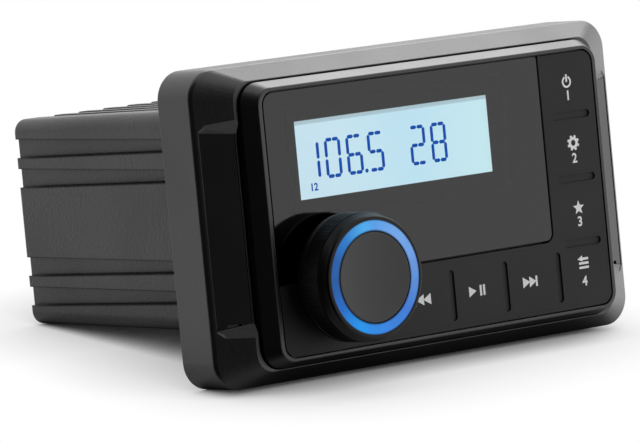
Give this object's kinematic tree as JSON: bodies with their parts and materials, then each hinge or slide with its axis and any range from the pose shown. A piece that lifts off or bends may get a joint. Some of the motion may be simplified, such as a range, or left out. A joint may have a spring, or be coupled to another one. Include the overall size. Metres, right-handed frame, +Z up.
{
  "type": "compact marine stereo head unit",
  "caption": "Flange-mounted dash stereo: finned cast body, sloped trim, display window, rubber keys and one lit rotary knob.",
  "frame": {"origin": "centre of the four mounting holes, on the rear face of the flange that seats on the panel", "axes": "+X to the right seen from the front, +Y to the rear (the front faces -Y), +Z up as mounted"},
  "size_m": [0.1308, 0.1303, 0.0754],
  "materials": {
    "trim_black": "fine grained, satin",
    "cover_gloss": "gloss",
    "casting_black": "powder coated, fine grained",
    "fascia_black": "fine grained, satin",
    "window_black": "gloss, tinted clear over the display",
    "keypad_rubber": "matte",
    "seal_rubber": "matte",
    "carrier_plastic": "matte",
    "display_glass": "backlit",
    "guide_clear": "milky clear",
    "board_green": "solder mask",
    "pad_carbon": "matte",
    "led_body": "gloss",
    "encoder_metal": "plain",
    "knob_black": "satin, finely ribbed",
    "ring_blue": "lit from behind",
    "cap_grey": "satin",
    "steel": "zinc plated",
    "chip_black": "matte",
    "pad_grey": "soft",
    "can_sleeve": "gloss sleeve",
    "copper": "enamelled wire",
    "shield_tin": "plain",
    "socket_black": "matte",
    "pin_gold": "plated",
    "jack_plate": "plated",
    "jack_insert": "gloss",
    "ribbon_film": "film"
  },
  "bodies": {
    "unit": {"trim_bezel": "trim_black", "side_cover_left": "cover_gloss", "side_cover_right": "cover_gloss", "chassis": "casting_black", "panel_gasket": "seal_rubber", "fascia_frame": "fascia_black", "fascia_gasket": "seal_rubber", "fascia_screws": "steel", "display_window": "window_black", "keypad_mat": "keypad_rubber", "front_carrier": "carrier_plastic", "lcd_foam": "seal_rubber", "lcd_glass": "display_glass", "lcd_light_guide": "guide_clear", "lcd_holder": "carrier_plastic", "lcd_leds": "led_body", "front_pcb": "board_green", "front_pcb_screws": "steel", "contact_pads": "pad_carbon", "knob_leds": "led_body", "ring_light_pipe": "guide_clear", "encoder_body": "encoder_metal", "main_pcb": "board_green", "main_pcb_screws": "steel", "amplifier_chip": "chip_black", "amplifier_pad": "pad_grey", "amplifier_clamp": "steel", "amplifier_screws": "steel", "filter_capacitors": "can_sleeve", "filter_choke": "copper", "tuner_module": "shield_tin", "wireless_module": "shield_tin", "logic_chips": "chip_black", "ribbon_connectors": "socket_black", "ribbon_cable": "ribbon_film", "power_socket": "socket_black", "power_pins": "pin_gold", "rca_block": "socket_black", "rca_barrels": "jack_plate", "rca_inserts": "jack_insert", "aerial_socket": "jack_plate"},
    "key_power": {"key_power": "keypad_rubber"},
    "key_settings": {"key_settings": "keypad_rubber"},
    "key_favourites": {"key_favourites": "keypad_rubber"},
    "key_back": {"key_back": "keypad_rubber"},
    "key_next": {"key_next": "keypad_rubber"},
    "key_play": {"key_play": "keypad_rubber"},
    "key_previous": {"key_previous": "keypad_rubber"},
    "knob_push": {"encoder_plunger": "encoder_metal"},
    "knob": {"encoder_shaft": "encoder_metal", "knob_body": "knob_black", "knob_light_ring": "ring_blue", "knob_cap": "cap_grey"}
  },
  "joints": [
    {"name": "press_power", "type": "slide", "parent": "unit", "child": "key_power", "axis": [0, 1, 0], "range_m": [0, 0.0007], "stiffness_N_per_m": 600},
    {"name": "press_settings", "type": "slide", "parent": "unit", "child": "key_settings", "axis": [0, 1, 0], "range_m": [0, 0.0007], "stiffness_N_per_m": 600},
    {"name": "press_favourites", "type": "slide", "parent": "unit", "child": "key_favourites", "axis": [0, 1, 0], "range_m": [0, 0.0007], "stiffness_N_per_m": 600},
    {"name": "press_back", "type": "slide", "parent": "unit", "child": "key_back", "axis": [0, 1, 0], "range_m": [0, 0.0007], "stiffness_N_per_m": 600},
    {"name": "press_next", "type": "slide", "parent": "unit", "child": "key_next", "axis": [0, 1, 0], "range_m": [0, 0.0007], "stiffness_N_per_m": 600},
    {"name": "press_play", "type": "slide", "parent": "unit", "child": "key_play", "axis": [0, 1, 0], "range_m": [0, 0.0007], "stiffness_N_per_m": 600},
    {"name": "press_previous", "type": "slide", "parent": "unit", "child": "key_previous", "axis": [0, 1, 0], "range_m": [0, 0.0007], "stiffness_N_per_m": 600},
    {"name": "press_knob", "type": "slide", "parent": "unit", "child": "knob_push", "axis": [0, 1, 0], "range_m": [0, 0.0005], "stiffness_N_per_m": 3000},
    {"name": "turn_knob", "type": "hinge", "parent": "knob_push", "child": "knob", "pos_m": [-0.0341, -0.03, -0.0141], "axis": [0, 1, 0], "continuous": true}
  ]
}
